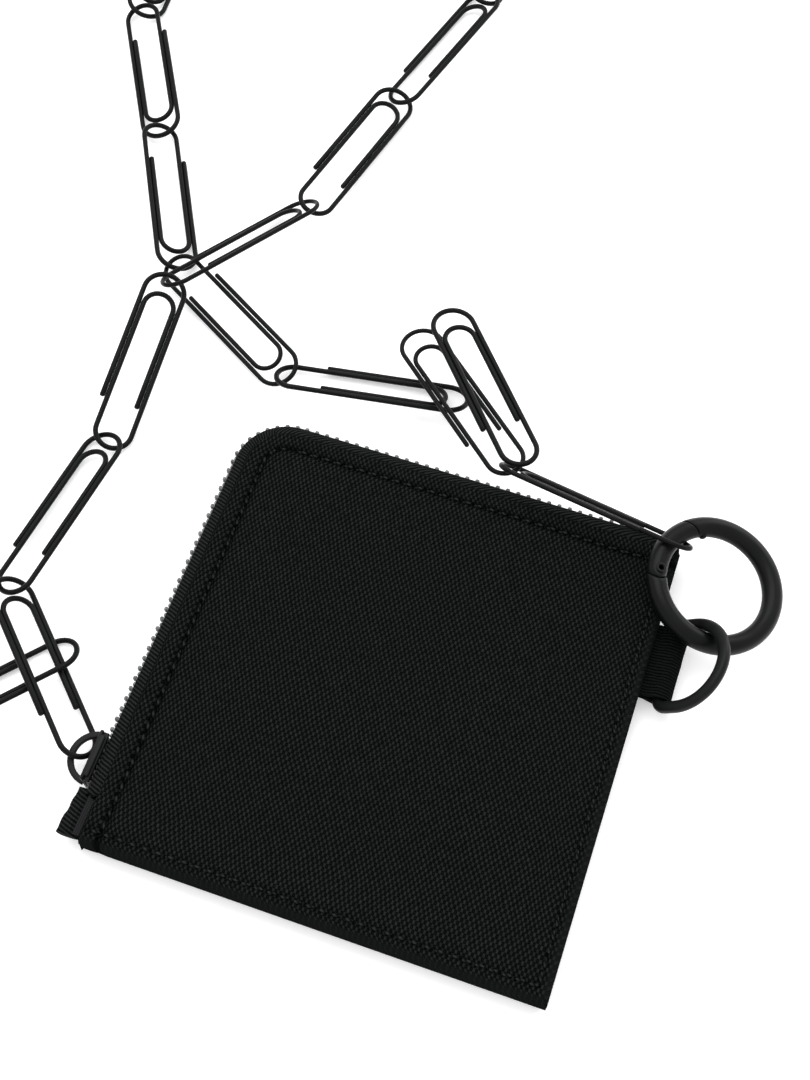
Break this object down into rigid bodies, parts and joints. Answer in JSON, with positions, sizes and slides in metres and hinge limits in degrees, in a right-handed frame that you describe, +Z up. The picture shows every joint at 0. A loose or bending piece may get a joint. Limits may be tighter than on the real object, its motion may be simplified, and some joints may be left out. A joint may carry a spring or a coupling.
{
  "type": "zippered pouch",
  "caption": "Small flat black canvas pouch with a zip round one corner, a webbing tab and D-ring, a round spring-gate clasp and a chain of black wire clips.",
  "frame": {"origin": "middle of the pouch's back face, which lies on the table", "axes": "+Z up out of the front face, +Y towards the zipped top edge, +X towards the sewn edge with the tab"},
  "size_m": [0.2252, 0.3165, 0.0183],
  "materials": {
    "canvas": "coarse plain-weave cotton canvas, black",
    "lining": "thin plain lining cloth, black",
    "zip_tape": "ribbed and twilled woven zip tape, black",
    "zip_plastic": "moulded black zip teeth, worn grey at the tips",
    "thread": "black polyester sewing thread",
    "webbing": "folded black cotton webbing",
    "black_hardware": "satin black plated zinc and steel, lightly worn",
    "spring_steel": "plain spring wire",
    "black_wire": "black lacquered steel wire"
  },
  "bodies": {
    "pouch": {"front_panel": "canvas", "back_panel": "canvas", "front_lining": "lining", "back_lining": "lining", "zip_tape_front": "zip_tape", "zip_tape_back": "zip_tape", "zip_teeth_front": "zip_plastic", "zip_teeth_back": "zip_plastic", "zip_stop_bottom": "zip_plastic", "zip_stop_top": "zip_plastic", "zip_tail": "zip_tape", "stitching_zip": "thread", "stitching_seams": "thread", "webbing_tab": "webbing"},
    "slider": {"slider_body": "black_hardware", "slider_inner_plate": "black_hardware", "slider_crown": "black_hardware"},
    "d_ring": {"d_ring": "black_hardware"},
    "clasp": {"clasp_ring": "black_hardware", "gate_rivet": "black_hardware", "gate_spring": "spring_steel"},
    "gate": {"clasp_gate": "black_hardware"},
    "link_01": {"link_01": "black_wire"},
    "link_02": {"link_02": "black_wire"},
    "link_03": {"link_03": "black_wire"},
    "link_04": {"link_04": "black_wire"},
    "link_05": {"link_05": "black_wire"},
    "link_06": {"link_06": "black_wire"},
    "link_07": {"link_07": "black_wire"},
    "link_08": {"link_08": "black_wire"},
    "link_09": {"link_09": "black_wire"},
    "link_10": {"link_10": "black_wire"},
    "link_11": {"link_11": "black_wire"},
    "link_12": {"link_12": "black_wire"},
    "link_13": {"link_13": "black_wire"},
    "link_14": {"link_14": "black_wire"},
    "link_15": {"link_15": "black_wire"},
    "link_16": {"link_16": "black_wire"},
    "link_17": {"link_17": "black_wire"},
    "link_18": {"link_18": "black_wire"}
  },
  "joints": [
    {"name": "slider_travel", "type": "slide", "parent": "pouch", "child": "slider", "axis": [0, 1, 0], "range_m": [0, 0.07]},
    {"name": "link_01_swing", "type": "hinge", "parent": "slider", "child": "link_01", "pos_m": [-0.0593, -0.0374, 0.005], "axis": [0, 0, -1], "range_deg": [-15, 12]},
    {"name": "link_02_swing", "type": "hinge", "parent": "link_01", "child": "link_02", "pos_m": [-0.0917, -0.0059, 0.0054], "axis": [0, 0, 1], "range_deg": [-9, 15]},
    {"name": "link_03_swing", "type": "hinge", "parent": "link_02", "child": "link_03", "pos_m": [-0.0865, 0.039, 0.0026], "axis": [0, 0, -1], "range_deg": [-15, 10]},
    {"name": "link_04_swing", "type": "hinge", "parent": "link_03", "child": "link_04", "pos_m": [-0.088, 0.084, 0.0094], "axis": [0, 0, -1], "range_deg": [-15, 11]},
    {"name": "link_05_swing", "type": "hinge", "parent": "link_04", "child": "link_05", "pos_m": [-0.064, 0.1225, 0.0044], "axis": [0, 0, -1], "range_deg": [-15, 10]},
    {"name": "link_06_swing", "type": "hinge", "parent": "link_05", "child": "link_06", "pos_m": [-0.054, 0.1665, 0.0028], "axis": [0, 0, -1], "range_deg": [-8, 4]},
    {"name": "link_07_swing", "type": "hinge", "parent": "link_06", "child": "link_07", "pos_m": [-0.042, 0.21, 0.0028], "axis": [0, 0, 1], "range_deg": [-2, 4]},
    {"name": "link_08_swing", "type": "hinge", "parent": "link_07", "child": "link_08", "pos_m": [-0.067, 0.247, 0.0028], "axis": [0, 0, -1], "range_deg": [-3, 9]},
    {"name": "link_09_swing", "type": "hinge", "parent": "link_08", "child": "link_09", "pos_m": [-0.111, 0.2545, 0.0028], "axis": [0, 0, -1], "range_deg": [-2, 8]},
    {"name": "link_10_swing", "type": "hinge", "parent": "link_09", "child": "link_10", "pos_m": [-0.138, 0.2185, 0.0028], "axis": [0, 0, 1], "range_deg": [-7, 1]},
    {"name": "link_11_swing", "type": "hinge", "parent": "link_10", "child": "link_11", "pos_m": [-0.1345, 0.1735, 0.0028], "axis": [0, 0, -1], "range_deg": [0, 7]},
    {"name": "link_12_swing", "type": "hinge", "parent": "link_11", "child": "link_12", "pos_m": [-0.112, 0.134, 0.003], "axis": [0, 0, -1], "range_deg": [-1, 8]},
    {"name": "link_13_swing", "type": "hinge", "parent": "link_12", "child": "link_13", "pos_m": [-0.0905, 0.094, 0.003], "axis": [0, 0, -1], "range_deg": [-15, 11]},
    {"name": "link_14_swing", "type": "hinge", "parent": "link_13", "child": "link_14", "pos_m": [-0.0515, 0.071, 0.0034], "axis": [0, 0, 1], "range_deg": [-15, 15]},
    {"name": "link_18_swing", "type": "hinge", "parent": "link_01", "child": "link_18", "pos_m": [-0.0735, -0.0175, 0.003], "axis": [0, 0, -1], "range_deg": [-15, 15]},
    {"name": "d_ring_lean", "type": "hinge", "parent": "pouch", "child": "d_ring", "pos_m": [0.0605, 0.0252, 0.0046], "axis": [0, 1, 0], "range_deg": [0, 11]},
    {"name": "clasp_turn", "type": "hinge", "parent": "d_ring", "child": "clasp", "pos_m": [0.0655, 0.046, 0.01], "axis": [-0.2588, 0, -0.9659], "range_deg": [0, 24]},
    {"name": "gate_open", "type": "hinge", "parent": "clasp", "child": "gate", "pos_m": [0.05173, 0.04336, 0.01369], "axis": [0.2588, 0, 0.9659], "range_deg": [-12, 0], "stiffness_Nm_per_rad": 0.03},
    {"name": "link_17_lift", "type": "hinge", "parent": "gate", "child": "link_17", "pos_m": [0.05234, 0.05096, 0.01353], "axis": [0.3304, 0.9397, -0.0885], "range_deg": [0, 27]},
    {"name": "link_15_swing", "type": "hinge", "parent": "link_17", "child": "link_15", "pos_m": [0.011, 0.059, 0.0122], "axis": [0, 0, 1], "range_deg": [-20, 20]},
    {"name": "link_16_lift", "type": "hinge", "parent": "link_17", "child": "link_16", "pos_m": [0.0132, 0.0612, 0.0141], "axis": [0.7624, 0.6471, 0], "range_deg": [0, 15]}
  ]
}
